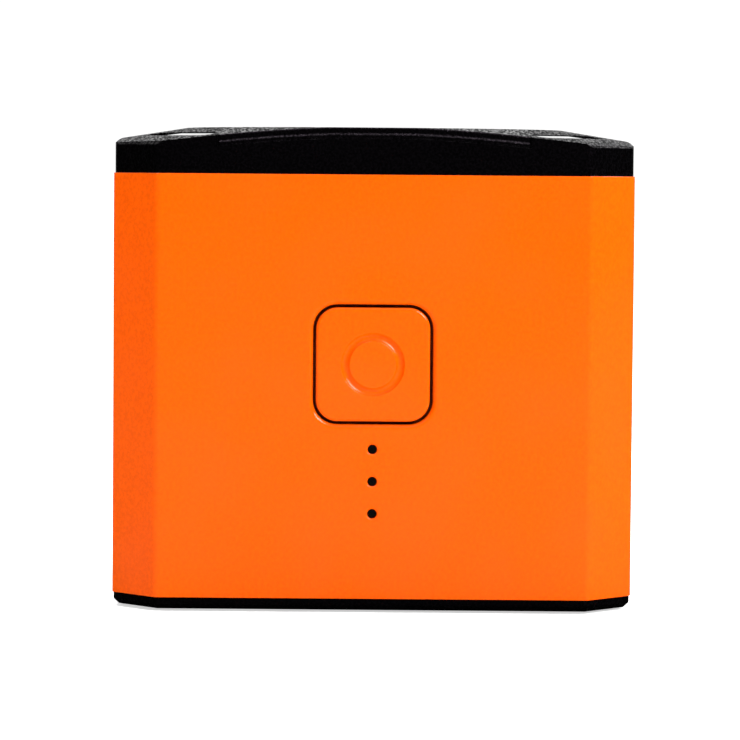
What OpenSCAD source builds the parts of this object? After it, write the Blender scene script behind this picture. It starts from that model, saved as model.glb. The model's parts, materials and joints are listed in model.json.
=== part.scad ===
// Compact expedition power station: an octagonal moulded sleeve round eight cells, closed by a
// black base and a black domed cap, with a push button and three charge lights on the front
// and a hinged port door at the back. Front faces -Y, the feet stand on z = 0.

/* [Case] */
// Width of the sleeve, left to right
body_w = 83; // [82.6:0.1:86]
// Depth of the sleeve, front to back
body_d = 62; // [61.8:0.1:64]
// Height of the sleeve alone
sleeve_h = 67; // [66.5:0.1:68]
// Wall of the sleeve
wall = 2.4; // [2.2:0.1:2.4]
// Leg of each flat corner facet
facet = 7.2; // [6.8:0.1:7.4]
// Rounding of the upright edges
edge_r = 1.5; // [1:0.1:2]

/* [Base] */
// How far the rubber feet stand out
foot_h = 0.4; // [0.3:0.05:0.6]
// Visible height of the base plate
base_h = 1.9; // [1.9:0.1:2.2]
// Bevel round the bottom of the base plate
base_bevel = 0.9; // [0.6:0.1:1]
// How far the base stands in from the sleeve
base_inset = 0.2; // [0.1:0.05:0.3]

/* [Cap] */
// Height of the flat middle of the cap above the sleeve
cap_h = 7.4; // [7.2:0.1:8]
// Radius at which the cap's top starts to slope down
plateau_r = 31; // [29:0.5:33]
// Slope of the cap's shoulders in degrees
shoulder_slope = 9.15; // [8:0.05:9.5]
// Height of a corner facet of the cap above the sleeve
cap_facet_h = 4.48; // [4.3:0.01:4.6]
// How far the cap stands in from the sleeve
cap_inset = 0.25; // [0.15:0.05:0.35]
// Width of the grip pad let into the top
pad_w = 49.4; // [48:0.1:49.6]
// Depth of the pad's channel
pad_depth = 1.75; // [1.6:0.05:1.8]

/* [Button and lights] */
// Side of the square power button
button_w = 18; // [16:0.5:18.5]
// Height of the button's centre above the sleeve's lower edge
button_up = 37.1; // [36.8:0.1:39]
// Gap all round the button
button_gap = 0.43; // [0.3:0.01:0.5]
// How far the button travels
button_travel = 0.6; // [0.4:0.1:0.6]
// Radius of the finger ring's groove
ring_r = 4.36; // [4:0.02:5]
// Width of the finger ring's groove
ring_w = 1.34; // [1:0.02:1.5]
// Height of the top charge light above the sleeve's lower edge
light_up = 23.7; // [23.2:0.1:24]
// Distance between charge lights
light_pitch = 5.1; // [4.8:0.1:5.4]
// Diameter of a charge light's hole
light_d = 1.5; // [1.2:0.1:1.6]

/* [Port door] */
// Width of the opening at the back
port_w = 56; // [55.5:0.1:56.5]
// Height of the opening at the back
port_h = 18; // [17.5:0.1:18.5]
// Height of the opening's middle above the sleeve's lower edge
port_up = 22.1; // [21.8:0.1:22.6]
// Thickness of the door
door_t = 1.8; // [1.6:0.1:1.8]
// Gap all round the door
door_gap = 0.3; // [0.25:0.05:0.4]
// Diameter of the hinge pin
hinge_pin_d = 1; // [0.9:0.05:1]

/* [Cells] */
// Diameter of a wrapped cell
cell_d = 18.4; // [18:0.1:18.4]
// Length of a wrapped cell
cell_l = 65.2; // [64.9:0.1:65.2]
// Centre distance of the cells along the width
cell_pitch_x = 19; // [18.8:0.1:19]
// Centre distance of the two rows of cells
cell_pitch_y = 19.2; // [19:0.1:19.2]
// Centre of the cell pack, front to back
pack_y = -4.7; // [-4.8:0.1:-4.6]

/* [Hidden] */
$fn = 48;

// Colours
orange = "#ff7000";
black = "#1c1c1e";
rubber = "#121213";
smoke = "#08090b";
steel = "#b8bcc0";
brass = "#c8a24a";
green = "#14502c";
nickel = "#c9c9c4";
cell_wrap = "#2e6f9e";

// Heights of the stack
base_z = foot_h;
sleeve_z = base_z + base_h;
sleeve_top = sleeve_z + sleeve_h;
cap_top = sleeve_top + cap_h;
roof_t = 4.1;
roof_z = cap_top - roof_t;
inner_wall = wall + 0.15;
button_z = sleeve_z + button_up;
light_z = sleeve_z + light_up;
port_z = sleeve_z + port_up;

// Front and back wall planes
front = -body_d / 2;
front_inner = front + wall;
back = body_d / 2;
back_inner = back - wall;

// Fasteners: M2.5 case screws in brass inserts
screw_d = 2.5;
screw_hole_d = 2.8;
screw_head_d = 4.6;
screw_head_h = 1.4;
counterbore_d = 5;
insert_d = 3.6;
insert_l = 5;
column_r = 3;
column_xs = [-19.2, 19.2];
column_ys = [-22.6, 13.2];
column_z = sleeve_z + 1.7;

// Cell pack
cell_xs = [for (i = [0:3]) (i - 1.5) * cell_pitch_x];
cell_ys = [pack_y - cell_pitch_y / 2, pack_y + cell_pitch_y / 2];
sheet_t = 0.3;
strip_t = 0.2;
cell_z = sleeve_z + sheet_t + strip_t;
cell_top = cell_z + cell_l;
post_xs = [-cell_pitch_x, 0, cell_pitch_x];
post_r = 1.5;
holder_t = 6;
holder_low_z = cell_z + 1.6;
holder_high_z = cell_top - holder_t - 1.6;
pack_half_w = 38.3;
pack_front = -23.9;
pack_back = 14.4;

// Boards
control_y = front_inner + 3;
control_t = 1;
control_half_w = 12;
control_low_z = sleeve_z + 4.6;
control_high_z = sleeve_z + 55.6;
control_screw_zs = [control_low_z + 3, control_high_z - 3];
main_y = 17;
main_t = 1.6;
main_back = main_y + main_t;
main_half_w = 29.5;
main_low_z = sleeve_z + 3.3;
main_high_z = sleeve_z + 59.1;
main_screw_zs = [main_low_z + 2.8, main_high_z - 4];
main_screw_x = 25;
board_screw_d = 1.6;
pilot_r = 0.8;
inductor_w = 12;
inductor_h = 6;
inductor_place = [-20, sleeve_z + 39.1];
capacitor_r = 3.15;
capacitor_h = 7.7;
capacitor_xs = [4, 12, 20];
capacitor_z = sleeve_z + 47.1;
chip_places = [[-4, 5, 0.9], [4, 6, 1.2], [13.5, 7, 1.2]];
chip_z = sleeve_z + 36.6;
chip_h = 5;
guard_z = cell_top + strip_t + sheet_t + 0.6;
guard_t = 1.2;
guard_half_w = 28;
guard_half_d = 12.4;

// Button and switch
button_r = 3.4;
opening_w = button_w + 2 * button_gap;
opening_r = button_r + button_gap;
opening_fillet = 0.8;
button_fillet = 0.5;
button_face_t = 1.6;
flange_w = 20.5;
flange_t = 0.8;
switch_h = 1.8;
plunger_d = 2.5;
post_gap = 0.05;
plunger_front = front_inner + 0.45;
light_zs = [for (i = [0:2]) light_z - i * light_pitch];
pipe_d = light_d - 0.1;

// Door and ports
door_bottom = port_z - port_h / 2 + door_gap;
door_top = port_z + port_h / 2 - door_gap;
hinge_y = back - 1;
hinge_z = door_bottom + 1;
barrel_r = 0.95;
panel_t = 2;
panel_half_w = 30.3;
panel_half_h = 12.4;
usb_a_xs = [18.6, 2.6];
usb_c_x = -11;
dc_x = -21.6;
usb_a_w = 13.2;
usb_a_h = 6;
usb_c_w = 9;
usb_c_h = 3.3;
port_mouth = back_inner - 0.1;
stake_xs = [-29.1, 29.1];
stake_zs = [port_z - 10.9, port_z + 10.9];

// Feet and rims
foot_r = 4.5;
foot_x = 29;
foot_y = 20;
foot_pocket = 0.4;
foot_bevel = 0.25;
rim_h = 3;
rim_t = 1.5;
rim_from = 24.4;
gasket_t = 0.7;
pad_fit = 0.03;
cap_seat_z = cap_top - pad_depth - 1.7;

// Corner lenses
slot_height = 6;
lamp_post_r = 34.5;
lamp_post_angles = [27, 40];
quadrants = [[0, 0], [1, 0], [0, 1], [1, 1]];
lens_r = 38.1;
lens_w = 3.2;
lens_from = 22;
lens_to = 45.5;
lens_gap = 0.05;
lens_sink = 0.1;
lens_tilt = 2.4;
lens_drop = 0.96;
flange_from = 22;
flange_to = 44;
flange_h = 0.7;
lamp_z = roof_z - 2.4;
lamp_t = 0.8;

// Distance of side k of the octagon from the axis, for half sizes hw and hd and facet leg c
function side_distance(k, hw, hd, c) = k % 2 == 1 ? (hw + hd - c) / sqrt(2) : (k % 4 == 0 ? hw : hd);

// Centre of the rounding of radius r between sides k and k + 1
function corner_centre(k, hw, hd, c, r) =
    let (a = 45 * k, b = a + 45, p = side_distance(k, hw, hd, c) - r, q = side_distance(k + 1, hw, hd, c) - r)
    [(p * sin(b) - q * sin(a)) / sin(45), (q * cos(a) - p * cos(b)) / sin(45)];

// Outline of the case moved in by inset all round
module case_outline(inset, r) {
    hw = body_w / 2 - inset;
    hd = body_d / 2 - inset;
    c = facet - inset * (2 - sqrt(2));
    centres = [for (k = [0:7]) corner_centre(k, hw, hd, c, r)];
    polygon([
        for (k = [0:7], t = [0, 1])
            centres[k] + r * [cos(45 * (k + t)), sin(45 * (k + t))]
    ]);
    for (p = centres) translate(p) circle(r);
}

module case_prism(inset, z, h, r = 0.5) {
    translate([0, 0, z]) linear_extrude(h) case_outline(inset, r);
}

// Slabs whose lower face slants through height z of the given sides, tilted by angle from level
module side_bevels(inset, z, sides, angle) {
    hw = body_w / 2 - inset;
    hd = body_d / 2 - inset;
    c = facet - inset * (2 - sqrt(2));
    for (k = sides)
        rotate([0, 0, 45 * k]) translate([side_distance(k, hw, hd, c), 0, z])
            rotate([0, angle, 0]) translate([-5, -body_w / 2, 0]) cube([10, body_w, 5]);
}

module rounded_rect(w, h, r) {
    square([w - 2 * r, h], center = true);
    square([w, h - 2 * r], center = true);
    for (x = [-1, 1], y = [-1, 1])
        translate([x * (w / 2 - r), y * (h / 2 - r)]) circle(r);
}

// A rounded rectangle in the XZ plane at height z, running from y0 to y1
module front_slab(w, h, r, x, z, y0, y1) {
    translate([x, y1, z]) rotate([90, 0, 0]) linear_extrude(y1 - y0) rounded_rect(w, h, r);
}

// Cylinder along Y from y0 to y1
module y_rod(r, x, z, y0, y1) {
    translate([x, y0, z]) rotate([-90, 0, 0]) cylinder(r = r, h = y1 - y0);
}

// Region between a corner and the quarter circle that rounds it, u outwards and v down
module fillet_profile(r, steps = 6) {
    arc = [for (i = [0:steps]) let (t = 90 * i / steps) [r - r * cos(t), r - r * sin(t)]];
    polygon(concat([[-0.3, -0.3], [-0.3, r]], arc, [[r, -0.3]]));
}

// The fillet profile swept round a rounded square of side w, outwards or inwards
module fillet_sweep(w, r, f, inwards) {
    for (k = [0:3]) rotate([0, 0, 90 * k]) {
        translate([w / 2, w / 2 - r, 0]) rotate([90, 0, 0])
            linear_extrude(w - 2 * r) flipped_x(inwards) fillet_profile(f);
        translate([w / 2 - r, w / 2 - r, 0])
            rotate_extrude(angle = 90) translate([r, 0]) flipped_x(inwards) fillet_profile(f);
    }
}

module flipped_x(flip) {
    mirror([flip ? 1 : 0, 0]) children();
}

// ---- Case ----

module sleeve() {
    color(orange) {
        difference() {
            union() {
                difference() {
                    case_prism(0, sleeve_z, sleeve_h, edge_r);
                    case_prism(wall, sleeve_z - 1, sleeve_h + 2);
                }
                columns();
                control_bosses();
                main_board_posts();
            }
            column_holes();
            board_pilot_holes();
            button_opening();
            light_holes();
            port_opening();
        }
        panel_stakes();
    }
}

// Four screw columns, each tied to the nearest wall by a rib
module columns() {
    for (x = column_xs, y = column_ys)
        translate([x, y, column_z]) cylinder(r = column_r, h = sleeve_top - column_z);
    for (x = column_xs)
        translate([x - 0.8, front_inner - 0.5, column_z])
            cube([1.6, column_ys[0] - column_r + 1 - front_inner, sleeve_top - column_z]);
    for (x = column_xs)
        translate([x - 0.8, main_back - 2.9, main_high_z + 0.6])
            cube([1.6, back_inner + 0.5 - main_back + 2.9, sleeve_top - main_high_z - 4]);
}

module column_holes() {
    for (x = column_xs, y = column_ys) {
        translate([x, y, column_z - 1]) cylinder(d = screw_hole_d, h = sleeve_h + 2);
        translate([x, y, column_z - 1]) cylinder(d = insert_d, h = insert_l + 1);
        translate([x, y, sleeve_top - insert_l]) cylinder(d = insert_d, h = insert_l + 1);
    }
}

module control_bosses() {
    for (z = control_screw_zs) y_rod(2.2, 0, z, front_inner - 0.5, control_y);
}

module main_board_posts() {
    for (x = [-main_screw_x, main_screw_x], z = main_screw_zs)
        y_rod(2.5, x, z, main_back, back_inner + 0.5);
}

module board_pilot_holes() {
    for (z = control_screw_zs) y_rod(pilot_r, 0, z, front_inner + 0.2, control_y + 1);
    for (x = [-main_screw_x, main_screw_x], z = main_screw_zs)
        y_rod(pilot_r, x, z, main_back - 1, main_back + 6);
}

module button_opening() {
    front_slab(opening_w, opening_w, opening_r, 0, button_z, front - 1, front_inner + 1);
    translate([0, front, button_z]) rotate([-90, 0, 0])
        fillet_sweep(opening_w, opening_r, opening_fillet, false);
}

module light_holes() {
    for (z = light_zs) {
        y_rod(light_d / 2, 0, z, front - 1, front_inner + 1);
        translate([0, front, z]) rotate([-90, 0, 0])
            cylinder(r1 = light_d / 2 + 0.18, r2 = light_d / 2 - 0.02, h = 0.2);
    }
}

// Opening for the port door, a finger notch above it and the holes for the hinge pin
module port_opening() {
    front_slab(port_w, port_h, 1, 0, port_z, back_inner - 1, back + 1);
    translate([0, back + 7.6, port_z + port_h / 2 + 0.3]) sphere(r = 9);
    translate([-port_w / 2 + 2, back, port_z - port_h / 2]) rotate([45, 0, 0])
        translate([0, -0.35, -0.35]) cube([port_w - 4, 0.7, 0.7]);
    translate([-port_w / 2 - 2.3, hinge_y, hinge_z]) rotate([0, 90, 0])
        cylinder(r = hinge_pin_d / 2 + 0.01, h = port_w + 4.6);
}

// Four pins that hold the port panel, their ends spread by heat
module panel_stakes() {
    for (x = stake_xs, z = stake_zs) {
        y_rod(0.75, x, z, back_inner - panel_t - 0.1, back_inner + 0.2);
        y_rod(1.2, x, z, back_inner - panel_t - 0.5, back_inner - panel_t);
    }
}

// Rim inside the front and back walls of the sleeve, notched for the columns' ribs
module locating_rim(z) {
    difference() {
        case_prism(inner_wall, z, rim_h + 0.5);
        case_prism(inner_wall + rim_t, z - 1, rim_h + 3);
        translate([-body_w / 2, -rim_from, z - 1]) cube([body_w, 2 * rim_from, rim_h + 3]);
        for (x = column_xs)
            translate([x - 1.1, -body_d / 2, z - 1]) cube([2.2, body_d, rim_h + 3]);
    }
}

module base_plate() {
    color(black) difference() {
        union() {
            case_prism(base_inset, base_z, base_h, edge_r);
            locating_rim(sleeve_z - 0.5);
            for (x = column_xs, y = column_ys)
                translate([x, y, sleeve_z - 0.5]) cylinder(r = column_r + 0.2, h = column_z - sleeve_z + 0.5);
        }
        side_bevels(base_inset, base_z + base_bevel, [0:7], 135);
        gasket_groove(sleeve_z - gasket_t, 1);
        for (x = column_xs, y = column_ys) {
            translate([x, y, base_z - 1]) cylinder(d = counterbore_d, h = sleeve_z - base_z + 1);
            translate([x, y, base_z - 1]) cylinder(d = screw_hole_d, h = 10);
        }
        for (x = [-1, 1], y = [-1, 1])
            translate([x * foot_x, y * foot_y, base_z - 1]) cylinder(r = foot_r + 0.1, h = 1 + foot_pocket);
    }
}

module foot(x, y) {
    color(rubber) translate([x * foot_x, y * foot_y, 0]) rotate_extrude()
        polygon([[0, 0], [foot_r - foot_bevel, 0], [foot_r, foot_bevel],
                 [foot_r, foot_h + foot_pocket], [0, foot_h + foot_pocket]]);
}
module foot_front_left() foot(-1, -1);
module foot_front_right() foot(1, -1);
module foot_rear_left() foot(-1, 1);
module foot_rear_right() foot(1, 1);

// Groove for a gasket under or over the sleeve's wall
module gasket_groove(z, h) {
    difference() {
        case_prism(0.8, z, h, 0.8);
        case_prism(1.8, z - 1, h + 2);
    }
}

module base_gasket() {
    color(rubber) gasket_groove(sleeve_z - gasket_t, gasket_t);
}

// ---- Cap ----

// Solid of revolution under the cap's top surface, lowered by drop
module dome(drop) {
    reach = 52;
    translate([0, 0, -drop]) rotate_extrude()
        polygon([
            [0, sleeve_top - 5], [reach, sleeve_top - 5],
            [reach, cap_top - (reach - plateau_r) * tan(shoulder_slope)],
            [plateau_r, cap_top], [0, cap_top]
        ]);
}

module pad_slab(w, inset, top) {
    translate([-w / 2, front + inset, sleeve_top]) cube([w, body_d - 2 * inset, top]);
}

module cap_shell() {
    color(black) difference() {
        union() {
            difference() {
                intersection() {
                    case_prism(cap_inset, sleeve_top, cap_h + 1, edge_r);
                    dome(0);
                }
                case_prism(cap_inset + 2.6, sleeve_top - 1, roof_z - sleeve_top + 1);
            }
            locating_rim(sleeve_top - rim_h);
            clamp_ribs();
            for (x = column_xs, y = column_ys)
                translate([x, y, sleeve_top]) cylinder(r = column_r, h = roof_z - sleeve_top + 0.2);
            lamp_posts();
        }
        side_bevels(cap_inset, sleeve_top + cap_facet_h, [1, 3, 5, 7], 45);
        difference() {
            pad_slab(pad_w, -1, cap_h + 2);
            dome(pad_depth);
        }
        for (x = column_xs, y = column_ys) {
            translate([x, y, sleeve_top - 1]) cylinder(d = screw_hole_d, h = 10);
            translate([x, y, cap_seat_z]) cylinder(d = counterbore_d, h = 4);
        }
        for (q = quadrants) mirrored(q) lens_prism(lens_w, roof_z - 1, 6);
        gasket_groove(sleeve_top - 1, 1 + gasket_t);
    }
}

// Ribs that hold the cell pack down
module clamp_ribs() {
    for (s = [-1, 1])
        translate([s * 32.5 - 0.6, pack_y - 7, cell_top + strip_t + sheet_t])
            cube([1.2, 14, roof_z - cell_top - strip_t - sheet_t + 0.2]);
}

module cap_gasket() {
    color(rubber) gasket_groove(sleeve_top, gasket_t);
}

// Inlaid pad, with a stepped edge at its front and back
module grip_pad() {
    color(rubber) difference() {
        union() {
            intersection() {
                pad_slab(pad_w - 2 * pad_fit, cap_inset + 0.35, cap_h + 1);
                dome(0);
            }
            intersection() {
                pad_slab(pad_w - 2 * pad_fit, cap_inset + 0.18, cap_h + 1);
                dome(pad_depth * 0.6);
            }
        }
        dome(pad_depth);
    }
}

// ---- Corner lamps ----

module mirrored(q) {
    mirror([q[0], 0, 0]) mirror([0, q[1], 0]) children();
}

// Arc-shaped slot with round ends in the +X +Y quarter
module arc_slot(r, w, a0, a1) {
    rotate([0, 0, a0]) rotate_extrude(angle = a1 - a0)
        translate([r - w / 2, 0]) square([w, slot_height]);
    for (a = [a0, a1])
        rotate([0, 0, a]) translate([r, 0, 0]) cylinder(d = w, h = slot_height);
}

module lens_prism(w, z, h) {
    intersection() {
        translate([0, 0, z]) arc_slot(lens_r, w, lens_from, lens_to);
        translate([0, 0, z]) cube([60, 60, h]);
    }
}

// Smoked window, nearly level with the shoulder, its outer end dipping below it,
// glued under the roof by a thin flange
module corner_lens(q) {
    color(smoke) mirrored(q) {
        intersection() {
            lens_prism(lens_w - 2 * lens_gap, roof_z - 0.1, 6);
            dome(lens_sink);
            tilted_dome(lens_drop, lens_tilt);
        }
        translate([0, 0, roof_z - flange_h]) rotate([0, 0, flange_from])
            rotate_extrude(angle = flange_to - flange_from)
                translate([lens_r - 2.4, 0]) square([4.2, flange_h]);
    }
}

// The dome lowered by drop and then tipped about its top, so that it rises towards +Y
module tilted_dome(drop, angle) {
    translate([0, 0, cap_top]) rotate([angle, 0, 0]) translate([0, 0, -cap_top]) dome(drop);
}

module corner_lens_front_left() corner_lens([1, 1]);
module corner_lens_front_right() corner_lens([0, 1]);
module corner_lens_rear_left() corner_lens([1, 0]);
module corner_lens_rear_right() corner_lens([0, 0]);

module lamp_posts() {
    for (q = quadrants) mirrored(q) for (a = lamp_post_angles)
        rotate([0, 0, a]) translate([lamp_post_r, 0, 0]) {
            translate([0, 0, lamp_z + lamp_t]) cylinder(r = 1.1, h = roof_z - lamp_z - lamp_t + 0.2);
            translate([0, 0, lamp_z - 0.1]) cylinder(r = 0.55, h = lamp_t + 0.3);
            translate([0, 0, lamp_z - 0.4]) cylinder(r = 0.9, h = 0.4);
        }
}

module lamp_boards() {
    color(green) for (q = quadrants) mirrored(q) difference() {
        translate([0, 0, lamp_z]) rotate([0, 0, 20.5]) rotate_extrude(angle = 23)
            translate([33, 0]) square([6.6, lamp_t]);
        for (a = lamp_post_angles)
            rotate([0, 0, a]) translate([lamp_post_r, 0, lamp_z - 1]) cylinder(r = 0.6, h = 3);
    }
}

module lamp_leds() {
    color("#f4efd0") for (q = quadrants) mirrored(q) for (a = [25, 32, 39])
        rotate([0, 0, a]) translate([lens_r - 1.5, -1.4, lamp_z + lamp_t]) cube([2.8, 2.8, 0.7]);
}

// ---- Button, switch and charge lights ----

module power_button() {
    skirt_end = front_inner + 0.1 + flange_t;
    color(orange) difference() {
        union() {
            front_slab(button_w, button_w, button_r, 0, button_z, front, skirt_end);
            front_slab(flange_w, flange_w, button_r + 1.2, 0, button_z, front_inner + 0.1, skirt_end);
        }
        translate([0, front, button_z]) rotate([-90, 0, 0])
            fillet_sweep(button_w, button_r, button_fillet, true);
        finger_ring();
        difference() {
            front_slab(button_w - 2.4, button_w - 2.4, button_r - 1.2, 0, button_z,
                       front + button_face_t, skirt_end + 1);
            y_rod(2, 0, button_z, front, plunger_front - post_gap);
        }
    }
}

// Shallow round groove in the button's face
module finger_ring() {
    groove_depth = 0.45;
    tube_r = (ring_w * ring_w / 4 + groove_depth * groove_depth) / (2 * groove_depth);
    translate([0, front - tube_r + groove_depth, button_z]) rotate([90, 0, 0])
        rotate_extrude() translate([ring_r, 0]) circle(tube_r);
}

module switch_body() {
    color("#303236") difference() {
        translate([-3, control_y - switch_h, button_z - 3]) cube([6, switch_h, 6]);
        y_rod(plunger_d / 2 + 0.05, 0, button_z, control_y - switch_h - 1, control_y - 0.15);
    }
}

module switch_plunger() {
    color("#d8d4c8") y_rod(plunger_d / 2, 0, button_z, plunger_front, control_y - 0.2 - button_travel);
}

module control_board() {
    color(green) difference() {
        translate([-control_half_w, control_y, control_low_z])
            cube([2 * control_half_w, control_t, control_high_z - control_low_z]);
        for (z = control_screw_zs) y_rod(1.1, 0, z, control_y - 1, control_y + 2);
    }
}

// Pan-head screw along Y, its head's underside at y, pointing towards dir
module y_screw(x, z, y, d, l, dir, head_h) {
    y_rod(d / 2, x, z, dir < 0 ? y - l : y, dir < 0 ? y : y + l);
    difference() {
        y_rod(d * 0.9, x, z, dir < 0 ? y : y - head_h, dir < 0 ? y + head_h : y);
        translate([x, dir < 0 ? y + head_h : y - head_h, z]) cross_recess(d, head_h * 0.5);
    }
}

module cross_recess(d, depth) {
    for (a = [0, 90]) rotate([0, a, 0])
        cube([d * 1.1, 2 * depth, d * 0.28], center = true);
}

module control_board_screws() {
    color(steel) for (z = control_screw_zs) y_screw(0, z, control_y + control_t, board_screw_d, 3.4, -1, 0.6);
}

module charge_leds() {
    color("#f2f2e8") for (z = light_zs)
        translate([-0.8, control_y - 0.7, z - 0.5]) cube([1.6, 0.7, 1]);
}

// Three smoked rods on one strip, pushed into the holes from behind
module light_pipe() {
    rod_front = front + 0.7;
    color(smoke) {
        translate([-2.4, front_inner, light_zs[2] - 2.4])
            cube([4.8, 0.8, light_zs[0] - light_zs[2] + 4.8]);
        for (z = light_zs) {
            y_rod(pipe_d / 2, 0, z, rod_front, front_inner + 0.4);
            y_rod(1, 0, z, front_inner + 0.4, control_y - 0.9);
        }
    }
}

// Flat cable from the control board, over the cells, to the main board
module ribbon_cable() {
    ribbon_w = 6;
    ribbon_t = 0.3;
    ribbon_x = 9.5;
    y0 = control_y + control_t;
    y1 = main_y;
    top = roof_z - 0.5;
    bend = 1.2;
    color("#e8e4da") translate([ribbon_x - ribbon_w / 2, 0, 0])
        rotate([90, 0, 90]) linear_extrude(ribbon_w) difference() {
            ribbon_outline(y0, y1, top, bend);
            ribbon_outline(y0 + ribbon_t, y1 - ribbon_t, top - ribbon_t, bend - ribbon_t);
        }
}

// Region under the ribbon, with its two upper corners rounded
module ribbon_outline(y0, y1, top, bend) {
    low = sleeve_z + 49.1;
    translate([y0, low]) square([y1 - y0, top - bend - low]);
    translate([y0 + bend, low]) square([y1 - y0 - 2 * bend, top - low]);
    for (y = [y0 + bend, y1 - bend]) translate([y, top - bend]) circle(bend);
}

// ---- Port door and ports ----

module port_door() {
    w = port_w - 2 * door_gap;
    color(orange) difference() {
        union() {
            intersection() {
                front_slab(w, door_top - door_bottom, 0.7, 0, port_z, back - door_t, back);
                translate([-w, back - door_t - 1, hinge_z]) cube([2 * w, door_t + 2, port_h]);
            }
            translate([-w / 2 + 0.6, hinge_y, hinge_z]) rotate([0, 90, 0])
                cylinder(r = barrel_r, h = w - 1.2);
        }
        translate([-w, hinge_y, hinge_z]) rotate([0, 90, 0])
            cylinder(r = hinge_pin_d / 2 + 0.05, h = 2 * w);
    }
}

module hinge_pin() {
    color(steel) translate([-port_w / 2 - 2.2, hinge_y, hinge_z]) rotate([0, 90, 0])
        cylinder(d = hinge_pin_d, h = port_w + 4.4);
}

module port_panel() {
    y0 = back_inner - panel_t;
    color(black) difference() {
        front_slab(2 * panel_half_w, 2 * panel_half_h, 1.5, 0, port_z, y0, back_inner);
        for (x = usb_a_xs)
            front_slab(usb_a_w + 0.2, usb_a_h + 0.2, 0.6, x, port_z, y0 - 1, back_inner + 1);
        front_slab(usb_c_w + 0.2, usb_c_h + 0.2, usb_c_h / 2, usb_c_x, port_z, y0 - 1, back_inner + 1);
        y_rod(3.9, dc_x, port_z, y0 - 1, back_inner + 1);
        for (x = stake_xs, z = stake_zs) y_rod(0.85, x, z, y0 - 1, back_inner + 1);
    }
}

// Soft frame that the closed door presses on
module door_seal() {
    color(rubber) difference() {
        front_slab(54.6, 13.8, 2, 0, port_z + 0.9, back_inner, back_inner + 0.45);
        front_slab(52.8, 12, 1.2, 0, port_z + 0.9, back_inner - 1, back_inner + 1);
    }
}

module usb_a_shell(x) {
    t = 0.35;
    color(steel) difference() {
        front_slab(usb_a_w, usb_a_h, 0.5, x, port_z, main_back, port_mouth);
        front_slab(usb_a_w - 2 * t, usb_a_h - 2 * t, 0.2, x, port_z, main_back + 0.6, port_mouth + 1);
    }
}
module usb_a_shell_left() usb_a_shell(usb_a_xs[0]);
module usb_a_shell_right() usb_a_shell(usb_a_xs[1]);

// Back block, tongue and the tongue's four contacts
module usb_a_core(x) {
    y0 = main_back + 0.6;
    color("#e6e6e2") {
        translate([x - 6.1, y0, port_z - 2.5]) cube([12.2, 1.2, 5]);
        translate([x - 5.55, y0 + 1, port_z - 0.1]) cube([11.1, port_mouth - y0 - 1.6, 1.8]);
        for (i = [-1.5, -0.5, 0.5, 1.5])
            translate([x + i * 2.4 - 0.5, y0 + 1, port_z - 0.25]) cube([1, port_mouth - y0 - 2.6, 0.2]);
    }
}
module usb_a_core_left() usb_a_core(usb_a_xs[0]);
module usb_a_core_right() usb_a_core(usb_a_xs[1]);

module usb_c_shell() {
    t = 0.3;
    color(steel) difference() {
        front_slab(usb_c_w, usb_c_h, usb_c_h / 2 - 0.05, usb_c_x, port_z, main_back, port_mouth);
        front_slab(usb_c_w - 2 * t, usb_c_h - 2 * t, usb_c_h / 2 - t - 0.05, usb_c_x, port_z,
                   main_back + 0.6, port_mouth + 1);
    }
}

module usb_c_core() {
    y0 = main_back + 0.6;
    color("#1a1a1c") {
        translate([usb_c_x - 3, y0, port_z - 1.2]) cube([6, 1.5, 2.4]);
        translate([usb_c_x - 3.3, y0 + 1, port_z - 0.35]) cube([6.6, port_mouth - y0 - 1.8, 0.7]);
    }
}

module dc_jack_body() {
    color("#141416") difference() {
        union() {
            translate([dc_x - 4.4, main_back, port_z - 4.6]) cube([8.8, 7.4, 9.2]);
            y_rod(3.8, dc_x, port_z, main_back + 7, port_mouth);
        }
        y_rod(2.9, dc_x, port_z, main_back + 0.8, port_mouth + 1);
    }
}

module dc_jack_pin() {
    color(brass) {
        y_rod(1, dc_x, port_z, main_back + 0.8, port_mouth - 0.8);
        translate([dc_x, port_mouth - 0.8, port_z]) sphere(r = 1);
    }
}

// ---- Main board ----

module main_board() {
    color(green) difference() {
        translate([-main_half_w, main_y, main_low_z])
            cube([2 * main_half_w, main_t, main_high_z - main_low_z]);
        for (x = [-main_screw_x, main_screw_x], z = main_screw_zs)
            y_rod(1.1, x, z, main_y - 1, main_back + 1);
    }
}

module main_board_screws() {
    color(steel) for (x = [-main_screw_x, main_screw_x], z = main_screw_zs)
        y_screw(x, z, main_y, board_screw_d, 6, 1, 0.9);
}

module power_inductor() {
    color("#3a3b3e") difference() {
        translate([inductor_place[0], main_back, inductor_place[1]])
            cube([inductor_w, inductor_h, inductor_w]);
        y_rod(3.4, inductor_place[0] + inductor_w / 2, inductor_place[1] + inductor_w / 2,
              main_back + inductor_h - 0.6, main_back + inductor_h + 1);
    }
}

module filter_capacitors() {
    half_seat = capacitor_r + 0.15;
    color("#c4c7cc") for (x = capacitor_xs) {
        y_rod(capacitor_r, x, capacitor_z, main_back + 0.8, main_back + capacitor_h);
        translate([x - half_seat, main_back, capacitor_z - half_seat])
            cube([2 * half_seat, 0.8, 2 * half_seat]);
    }
}

module converter_chips() {
    color("#202124") for (c = chip_places)
        translate([c[0], main_back, chip_z]) cube([c[1], c[2], chip_h]);
}

// ---- Cell pack ----

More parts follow.
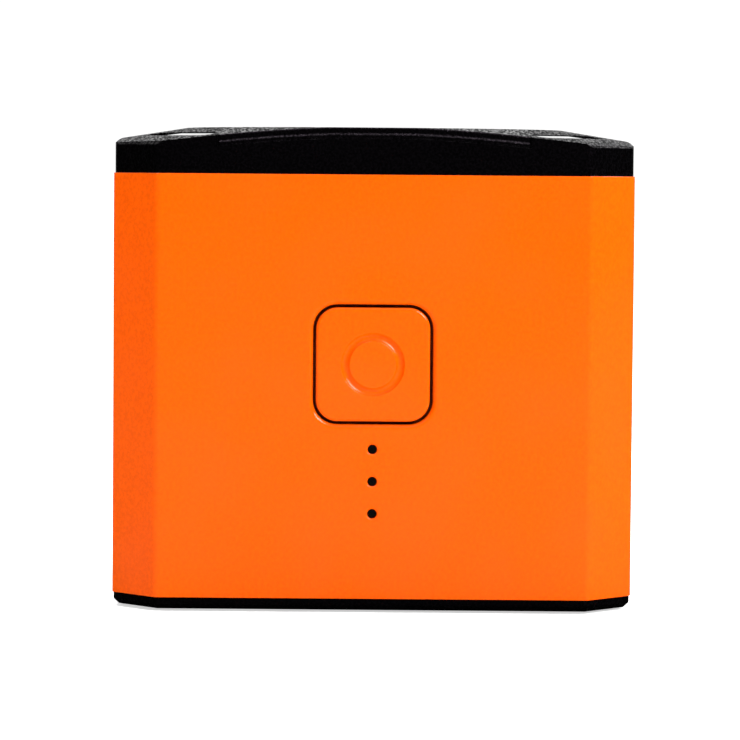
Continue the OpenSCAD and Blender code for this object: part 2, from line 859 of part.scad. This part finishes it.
// One cell with a raised button on its positive end; cells alternate up and down
module cell(i) {
    x = cell_xs[i % 4];
    y = cell_ys[floor(i / 4)];
    up = i % 2 == 0;
    color(cell_wrap) translate([x, y, 0]) rotate_extrude()
        polygon(up
            ? [[0, cell_z], [cell_d / 2 - 0.5, cell_z], [cell_d / 2, cell_z + 0.5],
               [cell_d / 2, cell_top - 1.2], [cell_d / 2 - 0.5, cell_top - 0.7],
               [3, cell_top - 0.7], [3, cell_top], [0, cell_top]]
            : [[0, cell_z], [3, cell_z], [3, cell_z + 0.7], [cell_d / 2 - 0.5, cell_z + 0.7],
               [cell_d / 2, cell_z + 1.2], [cell_d / 2, cell_top - 0.5],
               [cell_d / 2 - 0.5, cell_top], [0, cell_top]]);
}
module cell_1() cell(0);
module cell_2() cell(1);
module cell_3() cell(2);
module cell_4() cell(3);
module cell_5() cell(4);
module cell_6() cell(5);
module cell_7() cell(6);
module cell_8() cell(7);

// Plate that spans all eight cells, with its front corners cut for the case's facets
module pack_plate(z, h) {
    translate([0, 0, z]) linear_extrude(h) difference() {
        translate([-pack_half_w, pack_front]) square([2 * pack_half_w, pack_back - pack_front]);
        for (s = [-1, 1])
            translate([s * pack_half_w, pack_front]) rotate(45) square(6, center = true);
        for (x = column_xs, y = column_ys) translate([x, y]) circle(column_r + 0.3);
    }
}

module cell_bores(z, h) {
    for (x = cell_xs, y = cell_ys) translate([x, y, z]) cylinder(d = cell_d + 0.2, h = h);
}

module cell_holder_bottom() {
    color("#e9e9e4") difference() {
        pack_plate(holder_low_z, holder_t);
        cell_bores(holder_low_z - 1, holder_t + 2);
    }
}

// The upper holder also carries the posts for the protection board
module cell_holder_top() {
    color("#e9e9e4") difference() {
        union() {
            difference() {
                pack_plate(holder_high_z, holder_t);
                cell_bores(holder_high_z - 1, holder_t + 2);
            }
            for (x = post_xs)
                translate([x, pack_y, holder_high_z]) cylinder(r = post_r, h = guard_z - holder_high_z);
        }
        for (x = post_xs)
            translate([x, pack_y, guard_z - 4.5]) cylinder(r = pilot_r, h = 6);
    }
}

// Nickel strips: each joins the cells from column a to column b, in both rows
module nickel_strip(a, b, z) {
    reach = 5;
    translate([0, 0, z]) linear_extrude(strip_t) difference() {
        translate([cell_xs[a] - reach, cell_ys[0] - reach])
            square([cell_xs[b] - cell_xs[a] + 2 * reach, cell_pitch_y + 2 * reach]);
        for (x = post_xs) translate([x, pack_y]) circle(post_r + 0.4);
        for (i = [a:b], y = cell_ys)
            translate([cell_xs[i], y]) square([0.8, 5], center = true);
    }
}

module nickel_strips_bottom() {
    color(nickel) {
        nickel_strip(0, 1, cell_z - strip_t);
        nickel_strip(2, 3, cell_z - strip_t);
    }
}

module nickel_strips_top() {
    color(nickel) {
        nickel_strip(0, 0, cell_top);
        nickel_strip(1, 2, cell_top);
        nickel_strip(3, 3, cell_top);
    }
}

module insulator_bottom() {
    color("#d8cfa8") pack_plate(sleeve_z, sheet_t);
}

module insulator_top() {
    color("#d8cfa8") difference() {
        pack_plate(cell_top + strip_t, sheet_t);
        for (x = post_xs)
            translate([x, pack_y, cell_top]) cylinder(r = post_r + 0.3, h = 2);
    }
}

// ---- Protection board over the cells ----

module protection_board() {
    color(green) {
        difference() {
            translate([-guard_half_w, pack_y - guard_half_d, guard_z])
                cube([2 * guard_half_w, 2 * guard_half_d, guard_t]);
            for (x = post_xs) translate([x, pack_y, guard_z - 1]) cylinder(r = 1.1, h = 4);
        }
    }
}

module protection_board_screws() {
    color(steel) for (x = post_xs) translate([x, pack_y, guard_z + guard_t]) {
        translate([0, 0, -4]) cylinder(d = board_screw_d, h = 4);
        difference() {
            cylinder(r = 1.45, h = 0.8);
            translate([0, 0, 0.8]) rotate([90, 0, 0]) cross_recess(board_screw_d, 0.35);
        }
    }
}

// Two leads from the protection board, over its edge and down to the main board
module battery_leads() {
    lead_r = 0.8;
    bend = 2.4;
    z = guard_z + guard_t + lead_r;
    y_bend = main_y - lead_r - bend;
    lead_end = sleeve_z + 57.1;
    for (x = [-27.2, -24.2])
        color(x < -25 ? "#a01818" : "#18181a") {
            y_rod(lead_r, x, z, 3, y_bend);
            translate([x, y_bend, z - bend]) rotate([0, -90, 0])
                rotate_extrude(angle = 90) translate([bend, 0]) circle(lead_r);
            translate([x, y_bend + bend, lead_end]) cylinder(r = lead_r, h = z - bend - lead_end);
        }
}

// ---- Case fasteners ----

// Screw along Z, its head's underside at z, pointing towards dir
module case_screw(x, y, z, dir) {
    shank = 8;
    translate([x, y, z]) facing(dir) {
        translate([0, 0, -shank]) cylinder(d = screw_d, h = shank);
        difference() {
            cylinder(d = screw_head_d, h = screw_head_h);
            translate([0, 0, screw_head_h]) rotate([90, 0, 0]) cross_recess(screw_d, 0.5);
        }
    }
}

// Turns a shape that points down to point up where dir is 1
module facing(dir) {
    mirror([0, 0, dir > 0 ? 1 : 0]) children();
}

module case_screws() {
    color(steel) for (x = column_xs, y = column_ys) {
        case_screw(x, y, sleeve_z, 1);
        case_screw(x, y, cap_seat_z, -1);
    }
}

module threaded_inserts() {
    color(brass) for (x = column_xs, y = column_ys, z = [column_z, sleeve_top - insert_l])
        difference() {
            translate([x, y, z]) cylinder(d = insert_d, h = insert_l);
            translate([x, y, z - 1]) cylinder(d = screw_d, h = insert_l + 2);
        }
}

sleeve();
base_plate();
base_gasket();
foot_front_left();
foot_front_right();
foot_rear_left();
foot_rear_right();
cap_shell();
cap_gasket();
grip_pad();
corner_lens_front_left();
corner_lens_front_right();
corner_lens_rear_left();
corner_lens_rear_right();
lamp_boards();
lamp_leds();
power_button();
switch_body();
switch_plunger();
control_board();
control_board_screws();
charge_leds();
light_pipe();
ribbon_cable();
port_door();
hinge_pin();
port_panel();
door_seal();
usb_a_shell_left();
usb_a_shell_right();
usb_a_core_left();
usb_a_core_right();
usb_c_shell();
usb_c_core();
dc_jack_body();
dc_jack_pin();
main_board();
main_board_screws();
power_inductor();
filter_capacitors();
converter_chips();
cell_1();
cell_2();
cell_3();
cell_4();
cell_5();
cell_6();
cell_7();
cell_8();
cell_holder_bottom();
cell_holder_top();
nickel_strips_bottom();
nickel_strips_top();
insulator_bottom();
insulator_top();
protection_board();
protection_board_screws();
battery_leads();
case_screws();
threaded_inserts();
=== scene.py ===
"""Looks of the compact power station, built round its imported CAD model."""

import json
import math

import bpy
from mathutils import Matrix, Vector


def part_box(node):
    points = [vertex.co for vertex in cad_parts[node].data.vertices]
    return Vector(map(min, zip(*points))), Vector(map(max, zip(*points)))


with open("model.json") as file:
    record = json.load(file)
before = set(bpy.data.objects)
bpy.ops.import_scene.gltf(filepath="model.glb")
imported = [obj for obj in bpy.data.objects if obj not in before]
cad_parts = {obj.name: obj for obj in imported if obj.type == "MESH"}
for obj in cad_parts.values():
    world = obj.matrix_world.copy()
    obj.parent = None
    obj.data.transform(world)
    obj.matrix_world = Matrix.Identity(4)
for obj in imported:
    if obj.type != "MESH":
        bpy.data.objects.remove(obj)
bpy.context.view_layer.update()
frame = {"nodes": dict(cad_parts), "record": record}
nodes = frame["nodes"]
MM = 0.001

# Radiance of the surround: behind the case, on the camera's side, above the case, and as the camera
# sees it. FRONT_SHARE is the share of the overhead light that is left on the camera's side.
BACK_GLOW = 1.5
FRONT_GLOW = 0.015
TOP_GLOW = 1.35
SEEN_GLOW = 1.05
FRONT_SHARE = 0.25

# The floor: half its side in metres, its whiteness, its whiteness in reflections, and the light that
# the camera alone sees coming through it
FLOOR_HALF = 30.0
FLOOR_WHITE = 0.95
FLOOR_IN_REFLECTIONS = 0.04
FLOOR_FILL = 0.6


# The camera: focal length, distance in front of the sleeve, height above its top edge, and its tilt,
# turn and roll in degrees
LENS_MM = 175
CAMERA_DISTANCE = 566 * MM
CAMERA_RISE = 1.1 * MM
CAMERA_ANGLES = (90 - 3.22, 0.0465, 0.46)

# The middle of the case, at which the soft boxes are aimed
AIM = Vector((0, 0, 0.04))

# Colour of the black compound and of its worn edges, and its grain's size and depth in mm
BLACK = (0.0007, 0.0006, 0.0008)
WORN_BLACK = (0.008, 0.008, 0.008)
BLACK_GRAIN = (0.40, 0.06)

# How far the grain is drawn out front to back on surfaces that face up
RAKE = 0.2


# ---- Camera, light and floor ----

def make_camera():
    """The photograph's viewpoint: level with the cap, square to the front, tilted down a little."""
    low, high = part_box("sleeve")
    data = bpy.data.cameras.new("camera")
    data.lens = LENS_MM
    data.sensor_width = 36
    data.clip_start = 0.01
    camera = bpy.data.objects.new("camera", data)
    bpy.context.scene.collection.objects.link(camera)
    pitch, yaw, roll = (math.radians(angle) for angle in CAMERA_ANGLES)
    turn = Matrix.Rotation(yaw, 4, "Z") @ Matrix.Rotation(pitch, 4, "X") @ Matrix.Rotation(roll, 4, "Z")
    camera.matrix_world = Matrix.Translation((0, low.y - CAMERA_DISTANCE, high.z + CAMERA_RISE)) @ turn
    bpy.context.scene.camera = camera


def area_light(name, direction, distance, size, power):
    """A square soft box aimed at the middle of the case."""
    data = bpy.data.lights.new(name, "AREA")
    data.shape = "SQUARE"
    data.size = size
    data.energy = power
    light = bpy.data.objects.new(name, data)
    way = Vector(direction).normalized()
    light.location = AIM + way * distance
    light.rotation_euler = way.to_track_quat("Z", "Y").to_euler()
    bpy.context.scene.collection.objects.link(light)


def make_world():
    """White behind and overhead, dark on the camera's side, and pure white to the camera itself."""
    world = bpy.data.worlds.new("studio")
    bpy.context.scene.world = world
    world.use_nodes = True
    tree = world.node_tree
    tree.nodes.clear()

    def add(kind, inputs=None, **props):
        node = tree.nodes.new(kind)
        for key, value in props.items():
            setattr(node, key, value)
        for key, value in (inputs or {}).items():
            if isinstance(value, bpy.types.NodeSocket):
                tree.links.new(value, node.inputs[key])
            else:
                node.inputs[key].default_value = value
        return node

    way = add("ShaderNodeSeparateXYZ", {0: add("ShaderNodeTexCoord").outputs["Generated"]})
    behind = add("ShaderNodeMapRange", {0: way.outputs["Y"], 1: 0.55, 2: 0.85, 3: FRONT_GLOW, 4: BACK_GLOW},
                 interpolation_type="SMOOTHSTEP")
    above = add("ShaderNodeMapRange", {0: way.outputs["Z"], 1: 0.4, 2: 0.75, 3: 0.0, 4: TOP_GLOW},
                interpolation_type="SMOOTHSTEP")
    not_in_front = add("ShaderNodeMapRange", {0: way.outputs["Y"], 1: -0.45, 2: 0.0, 3: FRONT_SHARE, 4: 1.0},
                       interpolation_type="SMOOTHSTEP")
    overhead = add("ShaderNodeMath", {0: above.outputs[0], 1: not_in_front.outputs[0]}, operation="MULTIPLY")
    glow = add("ShaderNodeMath", {0: behind.outputs[0], 1: overhead.outputs[0]}, operation="MAXIMUM")
    lit = add("ShaderNodeBackground", {"Strength": glow.outputs[0]})
    lit.inputs["Color"].default_value = (1, 1, 1, 1)
    seen = add("ShaderNodeBackground", {"Strength": SEEN_GLOW})
    seen.inputs["Color"].default_value = (1, 1, 1, 1)
    path = add("ShaderNodeLightPath")
    mix = add("ShaderNodeMixShader",
              {0: path.outputs["Is Camera Ray"], 1: lit.outputs[0], 2: seen.outputs[0]})
    add("ShaderNodeOutputWorld", {"Surface": mix.outputs[0]})


def make_floor():
    """White paper, flagged off from reflections the way black cards keep dark plastic dark,
    and lit from below for the camera so that only the deepest shadow shows."""
    mesh = bpy.data.meshes.new("floor")
    r = FLOOR_HALF
    mesh.from_pydata([(-r, -r, 0), (r, -r, 0), (r, r, 0), (-r, r, 0)], [], [(0, 1, 2, 3)])
    floor = bpy.data.objects.new("floor", mesh)
    bpy.context.scene.collection.objects.link(floor)
    mat = bpy.data.materials.new("floor_paper")
    mat.use_nodes = True
    tree = mat.node_tree
    bsdf = tree.nodes["Principled BSDF"]
    bsdf.inputs["Roughness"].default_value = 0.9
    bsdf.inputs["Specular IOR Level"].default_value = 0.0
    path = tree.nodes.new("ShaderNodeLightPath")
    shade = tree.nodes.new("ShaderNodeMapRange")
    shade.inputs[3].default_value = FLOOR_WHITE
    shade.inputs[4].default_value = FLOOR_IN_REFLECTIONS
    tree.links.new(path.outputs["Is Glossy Ray"], shade.inputs[0])
    tree.links.new(shade.outputs[0], bsdf.inputs["Base Color"])
    glow = tree.nodes.new("ShaderNodeMapRange")
    glow.inputs[4].default_value = FLOOR_FILL
    tree.links.new(path.outputs["Is Camera Ray"], glow.inputs[0])
    tree.links.new(glow.outputs[0], bsdf.inputs["Emission Strength"])
    bsdf.inputs["Emission Color"].default_value = (1, 1, 1, 1)
    mesh.materials.append(mat)


# ---- Shader building ----

class Finish:
    """A Principled material whose extra nodes are added by small calls."""

    def __init__(self, name, color, roughness, metallic=0.0, specular=0.5):
        self.mat = bpy.data.materials.new(name)
        self.mat.use_nodes = True
        self.tree = self.mat.node_tree
        self.bsdf = self.tree.nodes["Principled BSDF"]
        self.set("Base Color", (*color, 1))
        self.set("Roughness", roughness)
        self.set("Metallic", metallic)
        self.set("Specular IOR Level", specular)
        self.coord = self.add("ShaderNodeTexCoord").outputs["Object"]
        self.axes = self.add("ShaderNodeSeparateXYZ", {0: self.coord}).outputs

    def set(self, socket, value):
        self.bsdf.inputs[socket].default_value = value

    def link(self, output, socket):
        self.tree.links.new(output, self.bsdf.inputs[socket])

    def add(self, kind, inputs=None, **props):
        node = self.tree.nodes.new(kind)
        for key, value in props.items():
            setattr(node, key, value)
        for key, value in (inputs or {}).items():
            if isinstance(value, bpy.types.NodeSocket):
                self.tree.links.new(value, node.inputs[key])
            else:
                node.inputs[key].default_value = value
        return node

    def math(self, operation, *values):
        return self.add("ShaderNodeMath", dict(enumerate(values)), operation=operation).outputs[0]

    def place(self, stretch=(1, 1, 1), offset=0.0):
        """Object coordinates, shifted, and shrunk along the axes on which features should be long."""
        node = self.add("ShaderNodeMapping", {"Vector": self.coord})
        node.inputs["Location"].default_value = (offset, offset, offset)
        node.inputs["Scale"].default_value = stretch
        return node.outputs[0]

    def noise(self, size_mm, detail=2.0, roughness=0.5, offset=0.0, stretch=(1, 1, 1)):
        """Noise whose features are about size_mm across."""
        node = self.add("ShaderNodeTexNoise",
                        {"Vector": self.place(stretch, offset), "Scale": 1 / (size_mm * MM),
                         "Detail": detail, "Roughness": roughness})
        return node.outputs["Fac"]

    def spots(self, spacing_mm, low, high, offset=0.0):
        """1 at scattered spots spacing_mm apart, 0 between them."""
        node = self.add("ShaderNodeTexVoronoi",
                        {"Vector": self.place(offset=offset), "Scale": 1 / (spacing_mm * MM)})
        return self.remap(node.outputs["Distance"], high, low)

    def stripes(self, along, pitch_mm, duty):
        """1 on stripes that repeat along a value in metres, 0 between them."""
        phase = self.math("FRACT", self.math("MULTIPLY", along, 1 / (pitch_mm * MM)))
        off = self.math("ABSOLUTE", self.math("SUBTRACT", phase, 0.5))
        return self.remap(off, duty / 2 + 0.04, duty / 2 - 0.04)

    def remap(self, value, low, high, to_low=0.0, to_high=1.0):
        return self.add("ShaderNodeMapRange", {0: value, 1: low, 2: high, 3: to_low, 4: to_high}).outputs[0]

    def mix(self, factor, a, b):
        node = self.add("ShaderNodeMix", data_type="RGBA")
        self.tree.links.new(factor, node.inputs[0])
        for socket, value in ((node.inputs[6], a), (node.inputs[7], b)):
            if isinstance(value, bpy.types.NodeSocket):
                self.tree.links.new(value, socket)
            else:
                socket.default_value = (*value, 1)
        return node.outputs[2]

    def rounded(self, radius_mm, keep_out=None):
        """Shades the node's sharp edges as if they were rounded, and returns how near an edge a point is.
        keep_out is a distance from the middle of the case, in metres, at which a seam is pressed shut."""
        node = self.add("ShaderNodeBevel", {"Radius": radius_mm * MM}, samples=8)
        if keep_out is not None:
            aside = self.math("ABSOLUTE", self.axes["X"])
            off = self.math("ABSOLUTE", self.math("SUBTRACT", aside, keep_out))
            radius = self.remap(off, 0.2 * MM, 0.5 * MM, 0.0, radius_mm * MM)
            self.tree.links.new(radius, node.inputs["Radius"])
        self.link(node.outputs[0], "Normal")
        flat = self.add("ShaderNodeNewGeometry").outputs["Normal"]
        dot = self.add("ShaderNodeVectorMath", {0: node.outputs[0], 1: flat}, operation="DOT_PRODUCT")
        return self.remap(dot.outputs["Value"], 1.0, 0.96)

    def bump(self, height, depth_mm):
        node = self.add("ShaderNodeBump", {"Height": height, "Distance": depth_mm * MM})
        last = self.bsdf.inputs["Normal"]
        if last.is_linked:
            self.tree.links.new(last.links[0].from_socket, node.inputs["Normal"])
        self.tree.links.new(node.outputs[0], last)

    def vary(self, value, roughness, spread):
        """Links a roughness that follows value between roughness - spread and roughness + spread."""
        out = self.remap(value, 0.3, 0.7, roughness - spread, roughness + spread)
        self.link(out, "Roughness")
        return out


def dimmed(color, share):
    return tuple(min(1.0, c * share) for c in color)


def moulding(name, color, worn, grain, roughness, specular, speck, wear_share=0.6, round_mm=0.22,
             keep_out=None, sheen=(1.0, 1.0, 1.0), glint=None, edge_gloss=0.0):
    """Plastic with a spark-eroded grain (size and depth in mm), faint mottling, worn, smoother edges and
    painted shade that darkens the colour in crevices.
    speck is how much the grain's colour varies, sheen tints the reflections, and glint is the specular
    level of the brightest grains, to which edge_gloss is added along the edges."""
    f = Finish(name, color, roughness, specular=specular)
    size, depth = grain
    fine = f.noise(size, 3.0, 0.6)
    mottle = f.noise(14, 2.0, 0.5, 0.3)
    pebble = f.noise(size * 2.2, 2.0, 0.6, 0.9)
    edge = f.rounded(round_mm, keep_out)
    f.set("Specular Tint", (*sheen, 1))
    # Painted shade: an ambient-occlusion mask of the crevices, where nearby surfaces would cast shade
    painted_crevice_shade = f.add("ShaderNodeAmbientOcclusion", {"Distance": 1.6 * MM}, samples=6).outputs["AO"]
    base = f.mix(f.remap(fine, 0.35, 0.65), dimmed(color, 1 - speck), dimmed(color, 1 + speck))
    base = f.mix(f.remap(mottle, 0.35, 0.7, 0.0, 0.35), base, dimmed(color, 0.97))
    wear = f.math("MULTIPLY", edge, f.remap(f.noise(2.2, 3.0, 0.6, 0.7), 0.44, 0.66, 0.0, wear_share))
    # The colour is darkened to near black in the crevices: painted shade, laid over the edge wear
    f.link(f.mix(f.remap(painted_crevice_shade, 0.42, 0.22), f.mix(wear, base, worn), dimmed(color, 0.03)), "Base Color")
    rough = f.remap(mottle, 0.3, 0.7, roughness - 0.03, roughness + 0.03)
    if glint:
        normal = f.add("ShaderNodeNewGeometry").outputs["Normal"]
        upward = f.remap(f.add("ShaderNodeSeparateXYZ", {0: normal}).outputs["Z"], 0.90, 0.97)
        raked = f.noise(size, 2.0, 0.6, 0.5, (1, RAKE, 1))
        facets = f.math("ADD", f.math("MULTIPLY", upward, f.math("SUBTRACT", raked, fine)), fine)
        on_edge = f.math("MULTIPLY", edge, f.remap(fine, 0.42, 0.60, edge_gloss * 0.1, edge_gloss))
        sparkle = f.remap(facets, 0.45, 0.62, specular * 0.2, glint)
        f.link(f.math("ADD", sparkle, on_edge), "Specular IOR Level")
        rough = f.math("ADD", rough, f.remap(facets, 0.40, 0.62, 0.15, -0.13))
    f.link(f.math("SUBTRACT", rough, f.math("MULTIPLY", wear, 0.12)), "Roughness")
    f.bump(pebble, depth)
    f.bump(fine, depth)
    return f.mat


FINISHES = {}


def finish(name, maker):
    """Makes each material once."""
    if name not in FINISHES:
        FINISHES[name] = maker()
    return FINISHES[name]


def orange():
    return moulding("orange_moulding", (1.0, 0.105, 0.0004), (1.0, 0.17, 0.01), (0.50, 0.022),
                    roughness=0.11, specular=0.40, speck=0.13, wear_share=0.4)


def dark_moulding(name, round_mm, roughness, specular, glint, edge_gloss=0.0):
    """Black compound whose grain is coarse enough to sparkle at a low angle."""
    return moulding(name, BLACK, WORN_BLACK, BLACK_GRAIN, roughness, specular, speck=0.5,
                    round_mm=round_mm, keep_out=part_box("grip_pad")[1].x, sheen=(1.0, 0.80, 1.0),
                    glint=glint, edge_gloss=edge_gloss)


def black():
    return dark_moulding("black_moulding", round_mm=0.14, roughness=0.46, specular=0.035, glint=0.08)


def rubber():
    return dark_moulding("black_rubber", round_mm=0.25, roughness=0.46, specular=0.035, glint=0.08)


def grip():
    return dark_moulding("black_grip", round_mm=0.40, roughness=0.38, specular=0.05, glint=0.12,
                         edge_gloss=0.65)


def lens():
    f = Finish("smoked_lens", (0.0006, 0.0006, 0.0008), 0.06, specular=0.5)
    f.rounded(0.15)
    f.vary(f.noise(1.5, 3.0, 0.6), 0.06, 0.03)
    f.bump(f.noise(6, 1.0), 0.004)
    return f.mat


def circuit_board():
    """Solder mask over copper tracks, with tinned pads and vias."""
    mask, track, tin = (0.004, 0.050, 0.016), (0.008, 0.105, 0.034), (0.62, 0.60, 0.52)
    f = Finish("circuit_board", mask, 0.32)
    across = f.math("ADD", f.axes["Y"], f.axes["Z"])
    rows = f.math("MULTIPLY", f.stripes(across, 0.9, 0.42), f.remap(f.noise(5, 0.0, 0.5, 0.1), 0.50, 0.53))
    columns = f.math("MULTIPLY", f.stripes(f.axes["X"], 0.8, 0.42),
                     f.remap(f.noise(6, 0.0, 0.5, 0.4), 0.53, 0.56))
    copper = f.math("MAXIMUM", rows, columns)
    pads = f.math("MULTIPLY", f.spots(1.9, 0.20, 0.24), f.remap(f.noise(9, 0.0, 0.5, 0.8), 0.50, 0.52))
    base = f.mix(copper, mask, track)
    f.link(f.mix(pads, base, tin), "Base Color")
    f.link(pads, "Metallic")
    f.link(f.remap(f.math("ADD", copper, f.noise(0.5, 3.0)), 0.3, 1.5, 0.26, 0.44), "Roughness")
    f.rounded(0.1)
    f.bump(f.math("ADD", copper, pads), 0.02)
    f.bump(f.noise(0.25, 2.0), 0.004)
    return f.mat


def plating(name, color, tarnish, roughness, streak):
    """Plated metal with fine drawing marks along one axis, dull patches and a painted highlight that
    brightens the edges.
    """
    f = Finish(name, color, roughness, 1.0)
    marks = f.noise(0.12, 3.0, 0.6, 0.2, streak)
    patch = f.noise(2.5, 3.0, 0.6, 0.5)
    edge = f.rounded(0.08)
    base = f.mix(f.remap(patch, 0.45, 0.7, 0.0, 0.8), color, tarnish)
    base = f.mix(f.remap(marks, 0.3, 0.7, 0.0, 0.35), base, dimmed(color, 0.72))
    # Painted highlight: the colour is brightened along every edge
    f.link(f.mix(f.math("MULTIPLY", edge, 0.5), base, dimmed(color, 1.25)), "Base Color")
    f.vary(marks, roughness, 0.09)
    f.bump(marks, 0.004)
    return f.mat


def capacitor_can():
    f = Finish("capacitor_can", (0.68, 0.69, 0.71), 0.30, 1.0)
    turning = f.noise(0.10, 2.0, 0.5, 0.1, (0.2, 1.0, 0.2))
    patch = f.noise(3.0, 3.0, 0.6, 0.4)
    f.link(f.mix(f.remap(patch, 0.4, 0.7), (0.68, 0.69, 0.71), (0.52, 0.53, 0.55)), "Base Color")
    f.vary(turning, 0.32, 0.08)
    f.rounded(0.4)
    f.bump(turning, 0.006)
    return f.mat


def cell_wrap():
    """Blue shrink sleeve over a steel can that shows at both ends, creased where the sleeve turns in."""
    blue, can = (0.010, 0.095, 0.27), (0.60, 0.60, 0.58)
    low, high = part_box("cell_1")
    f = Finish("cell_wrap", blue, 0.24)
    near_end = f.math("MINIMUM", f.math("SUBTRACT", f.axes["Z"], low.z),
                      f.math("SUBTRACT", high.z, f.axes["Z"]))
    bare = f.remap(near_end, 0.35 * MM, 0.25 * MM)
    crease = f.math("MULTIPLY", f.noise(0.6, 2.0, 0.5, 0.2, (1, 1, 0.15)),
                    f.remap(near_end, 3 * MM, 0.5 * MM))
    mottle = f.noise(5, 3.0, 0.6)
    sleeve = f.mix(f.remap(mottle, 0.3, 0.7), dimmed(blue, 0.9), dimmed(blue, 1.15))
    f.link(f.mix(bare, sleeve, can), "Base Color")
    f.link(bare, "Metallic")
    f.vary(mottle, 0.26, 0.07)
    f.bump(crease, 0.12)
    f.bump(f.noise(1.6, 2.0, 0.5, 0.6), 0.01)
    return f.mat


def nickel():
    """Nickel strip with rolling marks and rows of weld spots."""
    f = Finish("nickel", (0.66, 0.65, 0.61), 0.28, 1.0)
    roll = f.noise(0.10, 3.0, 0.6, 0.1, (0.08, 1, 1))
    welds = f.spots(1.7, 0.16, 0.30)
    base = f.mix(f.remap(roll, 0.3, 0.7), (0.66, 0.65, 0.61), (0.50, 0.49, 0.46))
    f.link(f.mix(welds, base, (0.22, 0.21, 0.20)), "Base Color")
    f.vary(roll, 0.30, 0.10)
    f.bump(welds, -0.08)
    return f.mat


def fish_paper():
    f = Finish("insulating_sheet", (0.52, 0.44, 0.24), 0.7, specular=0.3)
    fibre = f.noise(0.35, 4.0, 0.7, 0.1, (0.3, 1, 1))
    stain = f.noise(7, 3.0, 0.6, 0.6)
    base = f.mix(f.remap(fibre, 0.3, 0.7), (0.43, 0.35, 0.18), (0.60, 0.51, 0.30))
    f.link(f.mix(f.remap(stain, 0.45, 0.7, 0.0, 0.4), base, (0.38, 0.30, 0.15)), "Base Color")
    f.vary(fibre, 0.72, 0.08)
    f.bump(fibre, 0.03)
    return f.mat


def lead_insulation():
    """Soft silicone, red on the outer lead and black on the inner one."""
    f = Finish("lead_insulation", (0.25, 0.01, 0.01), 0.45)
    middle = sum(c.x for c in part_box("battery_leads")) / 2
    side = f.remap(f.axes["X"], middle - 0.1 * MM, middle + 0.1 * MM)
    dust = f.noise(0.8, 3.0, 0.6)
    base = f.mix(side, (0.28, 0.008, 0.008), (0.010, 0.010, 0.011))
    f.link(f.mix(f.remap(dust, 0.5, 0.75, 0.0, 0.12), base, (0.3, 0.28, 0.26)), "Base Color")
    f.vary(dust, 0.46, 0.08)
    f.bump(f.noise(0.3, 2.0), 0.008)
    return f.mat


def ribbon():
    """Flat cable: tinned conductors showing through a white film."""
    f = Finish("ribbon_film", (0.72, 0.71, 0.66), 0.35)
    wires = f.stripes(f.axes["X"], 0.5, 0.5)
    grime = f.noise(4, 3.0, 0.6)
    base = f.mix(wires, (0.74, 0.73, 0.68), (0.48, 0.48, 0.46))
    f.link(f.mix(f.remap(grime, 0.45, 0.75, 0.0, 0.3), base, (0.52, 0.49, 0.42)), "Base Color")
    f.vary(grime, 0.36, 0.08)
    f.bump(wires, 0.03)
    return f.mat


def resin(name, color, roughness, grain_mm=0.3, depth=0.008):
    """Moulded resin parts inside the case: grain, flow marks and a painted highlight that lightens the
    edges.
    """
    f = Finish(name, color, roughness)
    grain = f.noise(grain_mm, 3.0, 0.6)
    flow = f.noise(6, 3.0, 0.6, 0.4, (1, 1, 0.4))
    edge = f.rounded(0.12)
    base = f.mix(f.remap(flow, 0.35, 0.7), dimmed(color, 0.90), dimmed(color, 1.06))
    base = f.mix(f.remap(grain, 0.35, 0.65, 0.0, 0.5), base, dimmed(color, 0.85))
    # Painted highlight: the colour is lightened along every edge
    f.link(f.mix(f.math("MULTIPLY", edge, 0.4), base, dimmed(color, 1.5)), "Base Color")
    f.vary(flow, roughness, 0.07)
    f.bump(grain, depth)
    return f.mat


def phosphor():
    f = Finish("led", (0.80, 0.62, 0.16), 0.35)
    grain = f.noise(0.12, 3.0, 0.6)
    f.link(f.mix(f.remap(grain, 0.3, 0.7), (0.72, 0.52, 0.10), (0.86, 0.72, 0.26)), "Base Color")
    f.vary(grain, 0.36, 0.08)
    f.rounded(0.1)
    f.bump(grain, 0.01)
    return f.mat


LOOKS = {
    "orange_plastic": orange,
    "black_plastic": black,
    "black_rubber": rubber,
    "grip_pad": grip,
    "smoked_lens": lens,
    "circuit_board": circuit_board,
    "led": phosphor,
    "component_black": lambda: resin("component_black", (0.022, 0.022, 0.025), 0.48),
    "white_plastic": lambda: resin("white_plastic", (0.72, 0.72, 0.68), 0.45),
    "steel": lambda: plating("steel", (0.60, 0.61, 0.63), (0.42, 0.43, 0.44), 0.26, (1, 0.1, 1)),
    "brass": lambda: plating("brass", (0.70, 0.47, 0.16), (0.42, 0.25, 0.08), 0.28, (1, 1, 0.1)),
    "capacitor_can": capacitor_can,
    "cell_wrap": cell_wrap,
    "nickel": nickel,
    "insulating_sheet": fish_paper,
    "lead_insulation": lead_insulation,
    "ribbon_cable": ribbon,
}


# ---- Carried-over CAD pieces ----

for part in frame["record"]["subparts"]:
    name = part["node"]
    look = name if name in LOOKS else part["material_slot"]
    piece = nodes[name]
    piece.data.materials.clear()
    piece.data.materials.append(finish(look, LOOKS[look]))

make_camera()
make_world()
make_floor()
area_light("key", (0.55, -0.52, 0.55), 1.3, 0.62, 18)
area_light("overhead", (-0.27, 0.04, 0.95), 1.1, 0.34, 6.5)
area_light("rim", (0.5, 0.5, 0.707), 1.2, 0.35, 6)
view = bpy.context.scene.view_settings
view.view_transform = "Standard"
view.look = "None"
